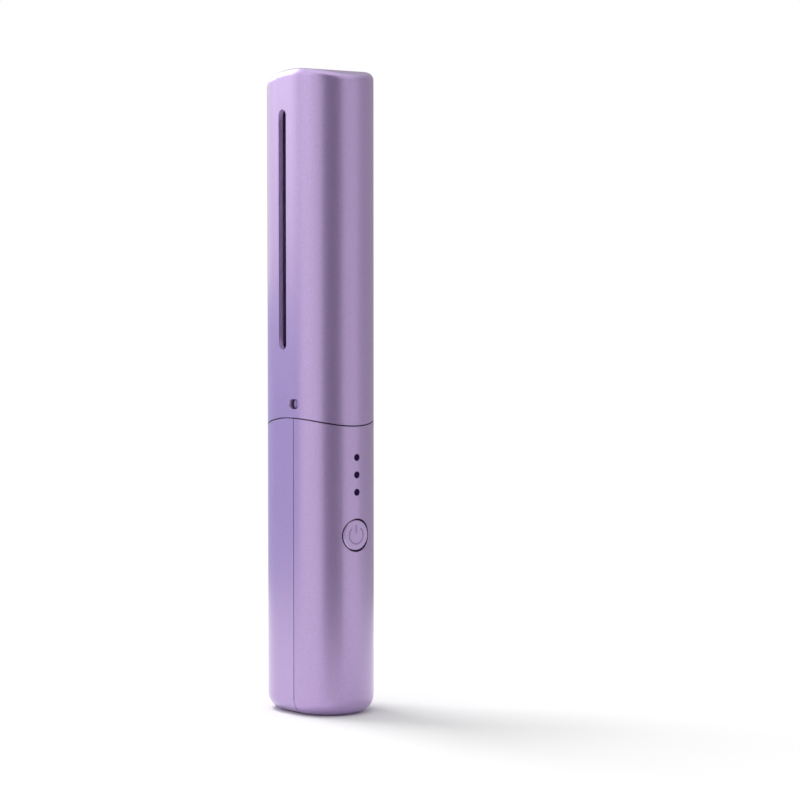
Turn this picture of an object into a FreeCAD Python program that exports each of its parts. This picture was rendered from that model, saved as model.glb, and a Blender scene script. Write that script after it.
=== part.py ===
"""Cordless hair straightening comb with a pull-off cap, as a parametric document.

Millimetres, +Z up. The handle stands on the origin with its button towards -Y and
its comb teeth towards +Y. Every length lives in the sheet named sizes.
"""
import FreeCAD, Part
import math
import os

import Sketcher

DOC = FreeCAD.newDocument("hair_comb")
SHEET = DOC.addObject("Spreadsheet::Sheet", "sizes")

SIZES = {
    # the stadium section that the handle and the cap share
    "half_width": 14.25,
    "half_flat": 3.75,
    "body_height": 200.0,
    "overrun": 1.0,
    # the three arches seen from the side, all about one line
    "arch_setback": 3.6,
    "rim_radius": 44.0,
    "top_radius": 40.0,
    "shoulder_rise": 6.6,
    "shoulder_radius": 50.0,
    "parting_gap": 0.4,
    # the seam plane that runs the whole length
    "seam_setback": 4.4,
    "seam_gap": 0.24,
    # cap
    "cap_wall": 1.7,
    "cap_clearance": 0.3,
    "cap_top_fillet": 2.4,
    "vent_width": 3.7,
    "vent_back": 0.9,
    "vent_above_rim": 21.1,
    "vent_below_top": 12.5,
    "latch_rise": 4.5,
    "latch_hole_radius": 1.55,
    "latch_hole_run": 1.6,
    "latch_bead_radius": 1.15,
    "latch_bead_rise": 0.8,
    "latch_slack": 0.2,
    # handle
    "handle_wall": 1.8,
    "handle_floor": 2.0,
    "foot_fillet": 5.0,
    "button_height": 56.2,
    "button_radius": 4.75,
    "button_slack": 0.45,
    "button_recess": 0.35,
    "button_flange_radius": 5.8,
    "button_flange_depth": 3.6,
    "button_flange_thick": 1.0,
    "button_dish": 0.35,
    "button_travel": 0.5,
    "led_rise": 13.3,
    "led_pitch": 5.4,
    "led_radius": 1.05,
    "lens_slack": 0.05,
    "lens_recess": 0.12,
    # comb
    "comb_half": 8.4,
    "comb_front": 14.3,
    "comb_corner": 6.0,
    "flank_blend": 12.0,
    "comb_tip": 13.5,
    "comb_tip_half": 2.7,
    "head_gap": 4.5,
    "comb_dome_radius": 31.0,
    "comb_nose": 2.2,
    "comb_edge_fillet": 1.2,
    "comb_wall": 1.7,
    "tip_wall": 3.0,
    "room_floor": 2.0,
    "room_lid": 2.1,
    "gap_drop": 10.4,
    "gap_pitch": 5.1,
    "gap_root": 2.65,
    "gap_mouth": 3.5,
    "gap_root_setback": 3.4,
    "neck_back": 6.5,
    "neck_sink": 4.2,
    "last_tooth_rise": 16.8,
    "last_tooth_thick": 3.8,
    "neck_crook": 4.5,
    "neck_flare": 0.9,
    "shoulder_edge": 0.6,
    "scoop_radius": 8.2,
    "scoop_offset": 11.4,
    "scoop_back": 6.5,
    "scoop_rise": 12.5,
    "wire_duct_half": 2.6,
    "wire_duct_back": 1.0,
    # collar
    "collar_wall": 1.8,
    "collar_gap": 0.9,
    "collar_depth": 8.4,
    "guide_rib_width": 0.6,
    "guide_rib_spacing": 2.2,
    "guide_rib_rise": 0.12,
    "bead_rib_wide": 0.9,
    "bead_rib_rise": 0.35,
    # heater
    "fit_gap": 0.2,
    "heater_inset": 3.2,
    "heater_nose": 6.7,
    "heater_nose_half": 1.3,
    "heater_back": 4.4,
    "heater_pad": 1.0,
    "fin_thick": 2.75,
    "ptc_thick": 1.6,
    "ptc_half": 4.6,
    "ptc_inset": 14.5,
    "clamp_thick": 0.8,
    "cover_rib_thick": 2.0,
    "cover_rib_half": 2.5,
    "sensor_radius": 0.9,
    "sensor_half": 2.6,
    "sensor_inset": 7.0,
    "fuse_radius": 1.5,
    "fuse_half": 4.2,
    "fuse_inset": 7.3,
    "shield_seat": 1.4,
    "shield_thick": 1.8,
    # board, battery and frame inside the handle
    "board_front": 10.2,
    "board_thick": 1.2,
    "board_half": 8.8,
    "board_low": 5.4,
    "board_margin": 1.8,
    "switch_half": 3.0,
    "switch_deep": 2.0,
    "plunger_radius": 1.6,
    "plunger_slack": 0.1,
    "plunger_seat": 1.2,
    "led_half": 0.8,
    "led_deep": 0.7,
    "lens_bar_half": 1.7,
    "lens_bar_thick": 1.2,
    "lens_bar_depth": 4.4,
    "usb_half": 4.47,
    "usb_deep": 3.16,
    "usb_mouth": 0.7,
    "usb_top": 8.1,
    "usb_wall": 0.3,
    "usb_slack": 0.2,
    "usb_tongue_half": 3.35,
    "usb_tongue_thick": 0.7,
    "usb_tongue_step": 0.9,
    "chip_half": 2.5,
    "chip_deep": 1.0,
    "chip_height": 38.0,
    "driver_half": 3.2,
    "driver_deep": 1.4,
    "driver_height": 24.0,
    "coil_half": 2.6,
    "coil_deep": 2.4,
    "coil_height": 14.0,
    "frame_thick": 1.6,
    "frame_half": 11.7,
    "standoff_radius": 2.2,
    "standoff_out": 6.2,
    "standoff_inset": 10.4,
    "screw_radius": 0.8,
    "screw_slack": 0.05,
    "screw_bite": 2.4,
    "screw_head_radius": 1.6,
    "screw_head_thick": 1.1,
    "boss_wide": 2.4,
    "boss_deep": 5.0,
    "boss_tall": 2.2,
    "boss_out": 10.0,
    "boss_inset": 6.4,
    "cell_radius": 9.2,
    "cell_length": 65.0,
    "cell_back": 5.6,
    "cell_slack": 0.15,
    "tab_thick": 0.3,
    "tab_half": 3.5,
    "shelf_thick": 1.6,
    "shelf_half": 7.0,
    "shelf_reach": 10.0,
    "rib_thick": 1.6,
    "rib_half": 7.5,
    "rib_inset": 15.5,
    "foam_half": 4.5,
    "foam_inset": 14.5,
    "lead_radius": 0.6,
    "lead_out": 1.4,
    "lead_bite": 10.9,
    "lead_slack": 0.1,
}
LED_COUNT = 3


class Size:
    """A length that keeps its value and the text that binds it to the sheet."""

    def __init__(self, text, value):
        self.text = text
        self.value = value

    def __add__(self, other):
        other = size(other)
        return Size("(%s + %s)" % (self.text, other.text), self.value + other.value)

    def __sub__(self, other):
        other = size(other)
        return Size("(%s - %s)" % (self.text, other.text), self.value - other.value)

    def __mul__(self, other):
        other = size(other)
        return Size("(%s * %s)" % (self.text, other.text), self.value * other.value)

    def __truediv__(self, other):
        other = size(other)
        return Size("(%s / %s)" % (self.text, other.text), self.value / other.value)

    def __neg__(self):
        return Size("(0 - %s)" % self.text, -self.value)


def size(number):
    return number if isinstance(number, Size) else Size("%g" % number, float(number))


def root(area):
    return Size("sqrt(%s)" % area.text, math.sqrt(area.value))


def largest(first, second):
    return Size("max(%s; %s)" % (first.text, second.text), max(first.value, second.value))


def fill_sheet():
    for row, (name, number) in enumerate(SIZES.items(), start=1):
        SHEET.set("A%d" % row, name)
        SHEET.set("B%d" % row, "%g" % number)
        SHEET.setAlias("B%d" % row, name)
    DOC.recompute()


def of(name):
    """The named size from the sheet."""
    return Size("sizes." + name, float(SHEET.get(name)))


# Document objects, each with its sizes bound to the sheet

def bind(item, **sizes):
    for prop, length in sizes.items():
        item.setExpression(prop.replace("__", "."), size(length).text)


def place(item, x, y, z):
    for axis, length in (("x", x), ("y", y), ("z", z)):
        item.setExpression("Placement.Base." + axis, size(length).text)


def box(name, xs, ys, zs):
    item = DOC.addObject("Part::Box", name)
    bind(item, Length=size(xs[1]) - xs[0], Width=size(ys[1]) - ys[0], Height=size(zs[1]) - zs[0])
    place(item, xs[0], ys[0], zs[0])
    return item


TURNS = {
    "x": FreeCAD.Rotation(FreeCAD.Vector(0, 1, 0), 90),
    "y": FreeCAD.Rotation(FreeCAD.Vector(1, 0, 0), -90),
    "z": FreeCAD.Rotation(),
}


def rod(name, axis, start, radius, length):
    """A cylinder that runs from start towards the positive side of an axis."""
    item = DOC.addObject("Part::Cylinder", name)
    item.Placement = FreeCAD.Placement(FreeCAD.Vector(), TURNS[axis])
    bind(item, Radius=radius, Height=length)
    place(item, *start)
    return item


def ball(name, centre, radius):
    item = DOC.addObject("Part::Sphere", name)
    bind(item, Radius=radius)
    place(item, *centre)
    return item


def arc_between(start, end, radius, side):
    """An arc of a circle whose centre lies to one side of the chord: 1 left, -1 right."""
    chord = end - start
    across = FreeCAD.Vector(-chord.y, chord.x, 0).normalize()
    rise = math.sqrt(max(radius * radius - chord.Length * chord.Length / 4, 0))
    centre = (start + end) * 0.5 + across * (side * rise)
    low, high = (start, end) if side > 0 else (end, start)
    angles = [math.atan2(p.y - centre.y, p.x - centre.x) for p in (low, high)]
    if angles[1] < angles[0]:
        angles[1] += 2 * math.pi
    circle = Part.Circle(centre, FreeCAD.Vector(0, 0, 1), radius)
    return Part.ArcOfCircle(circle, angles[0], angles[1])


def pin_point(sketch, geometry, end, point):
    """Fix a corner of an outline at two sizes from the sketch's origin."""
    for axis, kind, length in ((-2, "DistanceX", point[0]), (-1, "DistanceY", point[1])):
        length = size(length)
        if length.text == "0":
            sketch.addConstraint(Sketcher.Constraint("PointOnObject", geometry, end, axis))
            continue
        index = sketch.addConstraint(
            Sketcher.Constraint(kind, -1, 1, geometry, end, length.value))
        sketch.setExpression("Constraints[%d]" % index, length.text)


SKETCH_TURNS = {
    "plan": FreeCAD.Rotation(),
    "side": FreeCAD.Rotation(FreeCAD.Vector(0, 1, 0), FreeCAD.Vector(0, 0, 1),
                             FreeCAD.Vector(1, 0, 0), "ZXY"),
}
SKETCH_LIFTS = {"plan": "z", "side": "x"}


def outline(name, view, corners):
    """A closed sketch. A corner is (x, y), or (x, y, radius, side) where an arc ends there."""
    sketch = DOC.addObject("Sketcher::SketchObject", name + "_outline")
    sketch.Placement = FreeCAD.Placement(FreeCAD.Vector(), SKETCH_TURNS[view])
    spots = [FreeCAD.Vector(size(c[0]).value, size(c[1]).value, 0) for c in corners]
    ends = []
    for index, corner in enumerate(corners):
        start, end = spots[index - 1], spots[index]
        if len(corner) == 2:
            sketch.addGeometry(Part.LineSegment(start, end), False)
            ends.append((1, 2))
            continue
        radius, side = size(corner[2]), corner[3]
        sketch.addGeometry(arc_between(start, end, radius.value, side), False)
        ends.append((1, 2) if side > 0 else (2, 1))
    count = len(corners)
    for index in range(count):
        after = (index + 1) % count
        sketch.addConstraint(Sketcher.Constraint(
            "Coincident", index, ends[index][1], after, ends[after][0]))
    for index, corner in enumerate(corners):
        pin_point(sketch, index, ends[index][1], corner)
        if len(corner) == 4:
            radius = size(corner[2])
            limit = sketch.addConstraint(Sketcher.Constraint("Radius", index, radius.value))
            sketch.setExpression("Constraints[%d]" % limit, radius.text)
    return sketch


def prism(name, view, corners, low, high):
    """An outline carried from low to high, along Z in plan and along X from the side."""
    sketch = outline(name, view, corners)
    sketch.setExpression("Placement.Base." + SKETCH_LIFTS[view], size(low).text)
    item = DOC.addObject("Part::Extrusion", name)
    item.Base = sketch
    item.DirMode = "Normal"
    item.Solid = True
    bind(item, LengthFwd=size(high) - low)
    return item


def cut(name, base, *tools):
    item = DOC.addObject("Part::Cut", name)
    item.Base = base
    item.Tool = tools[0] if len(tools) == 1 else fuse(name + "_tools", *tools)
    return item


def fuse(name, *pieces):
    item = DOC.addObject("Part::MultiFuse", name)
    item.Shapes = list(pieces)
    item.Refine = True
    return item


def common(name, *pieces):
    item = DOC.addObject("Part::MultiCommon", name)
    item.Shapes = list(pieces)
    return item


def group(name, *pieces):
    item = DOC.addObject("Part::Compound", name)
    item.Links = list(pieces)
    return item


def rounded(name, base, chosen, radius):
    """Round the edges of base that chosen picks."""
    DOC.recompute()
    item = DOC.addObject("Part::Fillet", name)
    item.Base = base
    item.Edges = [(number, radius.value, radius.value)
                  for number, edge in enumerate(base.Shape.Edges, start=1) if chosen(edge)]
    return item


def bevelled(name, base, chosen, width):
    """Cut a plain bevel along the edges of base that chosen picks."""
    DOC.recompute()
    item = DOC.addObject("Part::Chamfer", name)
    item.Base = base
    item.Edges = [(number, width.value, width.value)
                  for number, edge in enumerate(base.Shape.Edges, start=1) if chosen(edge)]
    return item


# Outlines that several pieces share

def stadium(half, flat):
    """Two half circles on the Y axis, joined by flats on the X sides."""
    end = flat + half
    return [(half, -flat), (0, -end, half, -1), (-half, -flat, half, -1),
            (-half, flat), (0, end, half, -1), (half, flat, half, -1)]


def obround(middle, across, low, high):
    """An upright slot with round ends, in (y, z)."""
    near, far = middle - across, middle + across
    return [(far, high - across), (middle, high, across, 1), (near, high - across, across, 1),
            (near, low + across), (middle, low, across, 1), (far, low + across, across, 1)]


def lying_slot(middle, run, height, across):
    """A level slot with round ends, in (y, z)."""
    near, far = middle - run / 2, middle + run / 2
    low, high = height - across, height + across
    return [(far, low), (far + across, height, across, 1), (far, high, across, 1),
            (near, high), (near - across, height, across, 1), (near, low, across, 1)]


def arch_height(peak, radius, reach):
    """Height of an arch at a distance along Y from the middle of the body."""
    out = size(reach) + of("arch_setback")
    return peak - radius + root(radius * radius - out * out)


def comb_section(half, tip_half, front, tip, corner):
    """A teardrop: a round-cornered spine in front, flanks that close in to the teeth."""
    seam = of("seam_setback")
    run, flat = front - corner, half - corner
    return [(half, -seam), (half, -run), (flat, -front, corner, -1), (-flat, -front),
            (-half, -run, corner, -1), (-half, -seam), (-tip_half, tip), (tip_half, tip)]


fill_sheet()

HALF = of("half_width")
FLAT = of("half_flat")
DEEP = HALF + FLAT
OVER = of("overrun")
TALL = of("body_height")
REACH = DEEP + OVER
SEAM = -of("seam_setback")
SEAM_GAP = of("seam_gap") / 2
FRONT_SIDE = (-REACH, SEAM - SEAM_GAP)
BACK_SIDE = (SEAM + SEAM_GAP, REACH)
WIDE = (-(HALF + OVER), HALF + OVER)


def between(name, low, high):
    """Everything between two arches or levels, seen from the side."""
    def level(rule, reach):
        if isinstance(rule, tuple):
            return arch_height(rule[0], rule[1], reach)
        return rule
    corners = [(-REACH, level(low, -REACH))]
    end = (REACH, level(low, REACH))
    corners.append(end + (low[1], -1) if isinstance(low, tuple) else end)
    corners.append((REACH, level(high, REACH)))
    top = (-REACH, level(high, -REACH))
    corners.append(top + (high[1], 1) if isinstance(high, tuple) else top)
    return prism(name, "side", corners, WIDE[0], WIDE[1])


# Levels of the handle: the cell and the board set where the collar starts, and it sets the rim

def led_height(index):
    return of("button_height") + of("led_rise") + of("led_pitch") * (LED_COUNT - 1 - index)


def frame_low():
    return of("usb_top") + of("fit_gap")


def cell_low():
    return frame_low() + of("shelf_thick") + of("tab_thick")


def cell_top():
    return cell_low() + of("cell_length")


def frame_high():
    return cell_top() + of("tab_thick") + of("shelf_thick")


def collar_back_foot():
    return frame_high() + of("collar_gap")


def board_high():
    return led_height(0) + of("led_half") + of("board_margin")


def collar_front_foot():
    return largest(board_high(), frame_high()) + of("collar_gap")


def shield_low():
    return collar_front_foot() + of("shield_seat")


RIM_PEAK = collar_front_foot() + of("collar_depth")
RIM = (RIM_PEAK, of("rim_radius"))
SHOULDER = (RIM_PEAK + of("shoulder_rise"), of("shoulder_radius"))
LATCH = RIM_PEAK + of("latch_rise")

# Levels of the comb, from the rim up and from the top down
COMB_PEAK = TALL - of("head_gap")
GAP_TOP = COMB_PEAK - of("gap_drop")
TOOTH_UNDER = RIM_PEAK + of("last_tooth_rise")
GAP_LOWEST = TOOTH_UNDER + of("last_tooth_thick") + of("gap_root") / 2
GAP_COUNT = int((GAP_TOP.value - GAP_LOWEST.value) / SIZES["gap_pitch"]) + 1
ROOM_LOW = TOOTH_UNDER + of("room_floor")
ROOM_HIGH = GAP_TOP + of("gap_root") / 2 + of("room_lid")
ELEMENT_LOW = ROOM_LOW + of("heater_pad") + of("ptc_inset")
ELEMENT_HIGH = ROOM_HIGH - of("ptc_inset")


# Cap: one moulding that pulls off upwards

def cap():
    wall = of("cap_wall")
    gap = of("parting_gap")
    edge = (RIM[0] + gap, RIM[1] + gap)
    crown = (TALL, of("top_radius"))
    inside = (TALL - wall, of("top_radius") - wall)
    block = common(
        "cap_block",
        prism("cap_plan", "plan", stadium(HALF, FLAT), OVER, TALL + OVER),
        between("cap_side", edge, crown))
    shoulder = TALL - of("top_radius") / 4
    smooth = rounded("cap_rounded", block,
                     lambda e: e.CenterOfMass.z > shoulder.value, of("cap_top_fillet"))
    room = common(
        "cap_room",
        prism("cap_room_plan", "plan", stadium(HALF - wall, FLAT), size(0), TALL),
        between("cap_room_side", of("overrun"), inside))
    slot = obround(of("vent_back"), of("vent_width") / 2, RIM[0] + of("vent_above_rim"),
                   TALL - of("vent_below_top"))
    vents = prism("cap_vents", "side", slot, WIDE[0], WIDE[1])
    hole = lying_slot(SEAM, of("latch_hole_run"), LATCH, of("latch_hole_radius"))
    latch = prism("cap_latch_holes", "side", hole, WIDE[0], WIDE[1])
    bead = collar_half() + of("latch_bead_rise") + of("latch_slack")
    lane = of("latch_hole_radius")
    lead_in = box("cap_lead_in", (-bead, bead), (SEAM - lane, SEAM + lane),
                  (of("overrun"), LATCH))
    return cut("protective_cap", smooth, room, vents, latch, lead_in)


def collar_half():
    return HALF - of("cap_wall") - of("cap_clearance")


# Handle: two shells that meet at the seam

def handle_block():
    block = common(
        "handle_block",
        prism("handle_plan", "plan", stadium(HALF, FLAT), size(0), TALL),
        between("handle_side", size(0), RIM))
    return rounded("handle_rounded", block,
                   lambda e: e.BoundBox.ZMax < SIZES["parting_gap"], of("foot_fillet"))


def handle_room():
    wall = of("handle_wall")
    room = prism("handle_room", "plan", stadium(HALF - wall, FLAT), of("handle_floor"), TALL)
    floor = of("handle_floor") + of("parting_gap")
    return bevelled("handle_room_bevelled", room,
                    lambda e: e.BoundBox.ZMax < floor.value, of("foot_fillet") - wall)


def handle_front_shell(shell):
    half = common("front_half", shell, box("front_side", WIDE, FRONT_SIDE, (-OVER, TALL)))
    hole = of("button_radius") + of("button_slack")
    holes = [rod("button_hole", "y", (0, -REACH, of("button_height")), hole, REACH)]
    for index in range(LED_COUNT):
        lens = of("led_radius") + of("lens_slack")
        holes.append(rod("led_hole_%d" % (index + 1), "y", (0, -REACH, led_height(index)), lens,
                         REACH))
    slack = of("usb_slack")
    holes.append(prism("usb_slot", "plan", usb_outline(slack), -OVER, of("usb_top")))
    return cut("handle_front_shell", half, *holes)


def handle_back_shell(shell):
    half = common("back_half", shell, box("back_side", WIDE, BACK_SIDE, (-OVER, TALL)))
    inner = HALF - of("handle_wall") / 2
    limit = prism("rib_limit", "plan", stadium(inner, FLAT), of("handle_floor"), TALL)
    bosses = []
    for index, (sign, height) in enumerate(boss_spots()):
        out = of("boss_out") * sign
        inside = out - of("boss_wide") / 2 * sign
        sides = (inside, HALF * sign) if sign > 0 else (HALF * sign, inside)
        bosses.append(box("boss_%d" % (index + 1), sides,
                          (frame_back(), frame_back() + of("boss_deep")),
                          (height - of("boss_tall"), height + of("boss_tall"))))
    ribs = [box("cell_rib_%s" % level, (-of("rib_half"), of("rib_half")), (cell_y(), DEEP),
                (height, height + of("rib_thick"))) for level, height in rib_heights()]
    clear = of("cell_radius") + of("cell_slack")
    seat = rod("cell_seat", "z", (0, cell_y(), size(0)), clear, TALL)
    saddles = cut("cell_saddles", fuse("cell_ribs", *ribs), seat)
    inside = common("back_ribs", fuse("back_rib_blanks", *bosses, saddles), limit)
    screws = [rod("boss_bore_%d" % (index + 1), "y",
                  (of("boss_out") * sign, frame_back() - OVER, height),
                  of("screw_radius") + of("screw_slack"),
                  of("screw_bite") + OVER + of("screw_slack"))
              for index, (sign, height) in enumerate(boss_spots())]
    return cut("handle_back_shell", fuse("back_with_ribs", half, inside), *screws)


def boss_spots():
    inset = of("boss_inset")
    return [(sign, height) for sign in (-1, 1)
            for height in (frame_low() + inset, frame_high() - inset)]


def rib_heights():
    inset = of("rib_inset")
    return ("low", cell_low() + inset), ("high", cell_top() - inset - of("rib_thick"))


# Comb: the collar, neck and toothed head, split at the seam into a body and a spine cover

def comb_block():
    collar = common(
        "collar_block",
        prism("collar_plan", "plan", stadium(collar_half(), FLAT), collar_back_foot(), TALL),
        between("collar_side", collar_back_foot(), SHOULDER))
    crest = bevelled("collar_bevelled", collar, shoulder_edge, of("shoulder_edge"))
    tip, half = of("comb_tip"), of("comb_half")
    head = common(
        "head_block",
        prism("head_plan", "plan",
              comb_section(half, of("comb_tip_half"), of("comb_front"), tip, of("comb_corner")),
              SHOULDER[0] - of("neck_sink"), TALL),
        prism("head_side", "side", head_profile(), WIDE[0], WIDE[1]))
    bend = rounded("head_flanks", head, flank_edge, of("flank_blend"))
    nose = rounded("head_nose", bend, nose_edge, of("comb_nose"))
    soft = rounded("head_rounded", nose, head_edge, of("comb_edge_fillet"))
    crown = collar_half() + of("latch_bead_rise")
    beads = rod("latch_beads", "x", (-crown, SEAM, LATCH), of("latch_bead_radius"), crown * 2)
    ribs = []
    for sign in (-1, 1):
        middle = of("guide_rib_spacing") / 2 * sign
        ribs.append(box("guide_rib_%s" % ("left" if sign < 0 else "right"),
                        (middle - of("guide_rib_width") / 2, middle + of("guide_rib_width") / 2),
                        (FLAT, FLAT + collar_half() + of("guide_rib_rise")),
                        (arch_height(*RIM, DEEP) + of("fit_gap"),
                         arch_height(*SHOULDER, DEEP) - of("shoulder_edge"))))
    reach = collar_half() + of("bead_rib_rise")
    ribs.append(box("bead_ribs", (-reach, reach),
                    (SEAM - of("bead_rib_wide") / 2, SEAM + of("bead_rib_wide") / 2),
                    (RIM[0] + of("fit_gap"), LATCH)))
    joined = fuse("collar_and_head", crest, cut("head_scooped", soft, *scoops()))
    flared = rounded("neck_flared", joined, neck_foot_edge, of("neck_flare"))
    return fuse("comb_block", flared, beads, *ribs)


def shoulder_edge(edge):
    """The outer edge of the collar's arched top."""
    low = arch_height(*SHOULDER, DEEP).value
    return edge.BoundBox.ZMin > low - SIZES["overrun"]


def neck_foot_edge(edge):
    """Where the neck meets the collar's arched top."""
    middle = edge.CenterOfMass
    box = edge.BoundBox
    level = arch_height(*SHOULDER, middle.y).value
    on_top = abs(middle.z - level) < SIZES["fit_gap"] and box.ZLength < SIZES["neck_crook"]
    inside = max(abs(box.XMin), abs(box.XMax)) < SIZES["comb_half"] + SIZES["fit_gap"]
    ahead = box.YMin > -SIZES["comb_front"] - SIZES["fit_gap"]
    return on_top and inside and ahead and box.YMax < SIZES["neck_back"] + SIZES["neck_crook"]


def flank_edge(edge):
    """The two upright edges at the seam, where the sides turn in to the flanks."""
    middle = edge.CenterOfMass
    upright = edge.BoundBox.ZLength > edge.BoundBox.XLength + edge.BoundBox.YLength
    return upright and abs(middle.y - SEAM.value) < SIZES["parting_gap"]


def head_edge(edge):
    """The rim of the domed top."""
    return edge.CenterOfMass.z > ROOM_HIGH.value


def nose_edge(edge):
    """The short edge where the domed top meets the ends of the teeth."""
    along = edge.BoundBox.XLength > edge.BoundBox.YLength + edge.BoundBox.ZLength
    at_tip = edge.CenterOfMass.y > SIZES["comb_tip"] - SIZES["fit_gap"]
    return along and at_tip and edge.CenterOfMass.z > ROOM_HIGH.value


def head_profile():
    """The head and neck from the side: a domed top, and a crook under the last tooth."""
    dome = (COMB_PEAK, of("comb_dome_radius"))
    under, crook, back = TOOTH_UNDER, of("neck_crook"), of("neck_back")
    foot = SHOULDER[0] - of("neck_sink")
    ledge = arch_height(*SHOULDER, back + crook)
    return [(-REACH, foot), (back + crook, foot), (back + crook, ledge),
            (back, ledge + crook, crook, -1), (back, under - crook),
            (back + crook, under, crook, -1), (REACH, under), (REACH, arch_height(*dome, REACH)),
            (-REACH, arch_height(*dome, -REACH), dome[1], 1)]


def comb_room():
    """Hollows of the comb: the collar, the wire duct in the neck and the heater's room."""
    wall = of("collar_wall")
    lid = (SHOULDER[0] - wall, SHOULDER[1] - wall)
    collar = common(
        "collar_room",
        prism("collar_room_plan", "plan", stadium(collar_half() - wall, FLAT), of("handle_floor"),
              TALL),
        between("collar_room_side", collar_back_foot() - OVER, lid))
    skirt = box("front_skirt_cut", WIDE, (-REACH, SEAM),
                (collar_back_foot() - OVER, collar_front_foot()))
    duct = box("wire_duct", (-of("wire_duct_half"), of("wire_duct_half")),
               (lead_y() - of("lead_radius") - of("fit_gap"), of("wire_duct_back")),
               (RIM_PEAK, ROOM_LOW + OVER))
    thin = of("comb_wall")
    heater = prism("heater_room", "plan",
                   comb_section(of("comb_half") - thin, of("comb_tip_half") - thin,
                                of("comb_front") - thin, of("comb_tip") - of("tip_wall"),
                                of("comb_corner") - thin),
                   ROOM_LOW, ROOM_HIGH)
    return [collar, skirt, duct, heater]


def gap_height(index):
    return GAP_TOP - of("gap_pitch") * index


def gap_cut(index):
    """One gap between teeth: a round root, a level floor and a roof that climbs to the tips."""
    middle = gap_height(index)
    narrow, mouth = of("gap_root") / 2, of("gap_mouth")
    deep, end = -of("gap_root_setback"), REACH
    return prism("gap_%d" % (index + 1), "side",
                 [(deep + narrow, middle + narrow), (deep, middle, narrow, 1),
                  (deep + narrow, middle - narrow, narrow, 1),
                  (end, middle - narrow), (end, middle - narrow + mouth)], WIDE[0], WIDE[1])


def scoops():
    height = RIM[0] + of("scoop_rise")
    return [ball("scoop_%s" % name, (of("scoop_offset") * sign, of("scoop_back"), height),
                 of("scoop_radius")) for name, sign in (("left", -1), ("right", 1))]


def comb_pieces():
    shell = cut("comb_shell", comb_block(), *comb_room())
    body = common("comb_back_half", shell, box("comb_back_side", WIDE, BACK_SIDE, (size(0), TALL)))
    cover = common("comb_front_half", shell, box("comb_front_side", WIDE, FRONT_SIDE,
                                                 (size(0), TALL)))
    gaps = [gap_cut(index) for index in range(GAP_COUNT)]
    half = of("cover_rib_half")
    ribs = [box("cover_rib_%d" % (index + 1), (-half, half), (-of("comb_front") + of("comb_wall") / 2,
                                                             clamp_front()),
                (height, height + of("cover_rib_thick")))
            for index, height in enumerate(cover_rib_heights())]
    return cut("comb_body", body, *gaps), fuse("comb_spine_cover", cover, *ribs)


def cover_rib_heights():
    step = (ELEMENT_HIGH - ELEMENT_LOW) / 4
    return ELEMENT_LOW + step, ELEMENT_HIGH - step


# Heater: a finned aluminium wedge with its element clamped on the back

def heater_block():
    inset = of("heater_inset")
    low, high = ROOM_LOW + of("heater_pad"), ROOM_HIGH - of("fit_gap")
    back = -of("heater_back")
    core = prism("heater_core", "plan", flank(of("comb_half") - inset, of("heater_nose_half"), back,
                                              of("heater_nose")), low, high)
    pieces = [core]
    nose = of("comb_tip") - of("tip_wall") - of("fit_gap")
    for index in range(GAP_COUNT - 1):
        middle = (gap_height(index) + gap_height(index + 1)) / 2
        pieces.append(prism("fin_%d" % (index + 1), "plan",
                            flank(flank_half(back), flank_half(nose), back, nose),
                            middle - of("fin_thick") / 2, middle + of("fin_thick") / 2))
    return fuse("heater_block", *pieces)


def flank_half(along):
    """Half width that a fin may have at a place along Y, a fit inside the hollow comb."""
    half, tip_half = of("comb_half") - of("comb_wall"), of("comb_tip_half") - of("comb_wall")
    tip = of("comb_tip") - of("tip_wall")
    slope = (half - tip_half) / (tip + of("seam_setback"))
    return half - slope * (along + of("seam_setback")) - of("fit_gap")


def flank(half, tip_half, back, tip):
    return [(half, back), (-half, back), (-tip_half, tip), (tip_half, tip)]


def heater_pad():
    half = of("comb_half") - of("heater_inset")
    return prism("heater_pad", "plan", flank(half, of("heater_nose_half"), -of("heater_back"),
                                             of("heater_nose") - of("heater_pad")),
                 ROOM_LOW, ROOM_LOW + of("heater_pad"))


def element_back():
    return -of("heater_back") - of("ptc_thick")


def clamp_front():
    return element_back() - of("clamp_thick")


def heating_element():
    half = of("ptc_half")
    return box("heating_element", (-half, half), (element_back(), -of("heater_back")),
               (ELEMENT_LOW, ELEMENT_HIGH))


def element_clamp():
    half = of("ptc_half")
    return box("element_clamp", (-half, half), (clamp_front(), element_back()),
               (ELEMENT_LOW + OVER, ELEMENT_HIGH - OVER))


def temperature_sensor():
    middle = -of("heater_back") - of("sensor_radius")
    height = ROOM_LOW + of("heater_pad") + of("sensor_inset")
    return rod("temperature_sensor", "x", (-of("sensor_half"), middle, height),
               of("sensor_radius"), of("sensor_half") * 2)


def thermal_fuse():
    middle = -of("heater_back") - of("fuse_radius")
    return rod("thermal_fuse", "x", (-of("fuse_half"), middle, ROOM_HIGH - of("fuse_inset")),
               of("fuse_radius"), of("fuse_half") * 2)


def heat_shield():
    half = collar_half() - of("collar_wall") - of("fit_gap")
    plate = prism("shield_plate", "plan", stadium(half, FLAT), shield_low(),
                  shield_low() + of("shield_thick"))
    duct = of("lead_out") + of("lead_radius") + of("fit_gap")
    slot = box("shield_slot", (-duct, duct),
               (lead_y() - of("lead_radius") - of("fit_gap"), lead_y() + of("lead_radius") + of("fit_gap")),
               (shield_low() - OVER, TALL))
    return cut("heat_shield", plate, slot)


# Inside the handle

def board_back():
    return -of("board_front") + of("board_thick")


def frame_back():
    return SEAM + SEAM_GAP


def frame_front():
    return frame_back() - of("frame_thick")


def cell_y():
    return of("cell_back")


def lead_y():
    return board_back() + of("lead_radius") + of("lead_slack")


def standoff_spots():
    inset = of("standoff_inset")
    return [(of("standoff_out") * sign, height) for sign in (-1, 1)
            for height in (frame_low() + inset, frame_high() - inset)]


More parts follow.
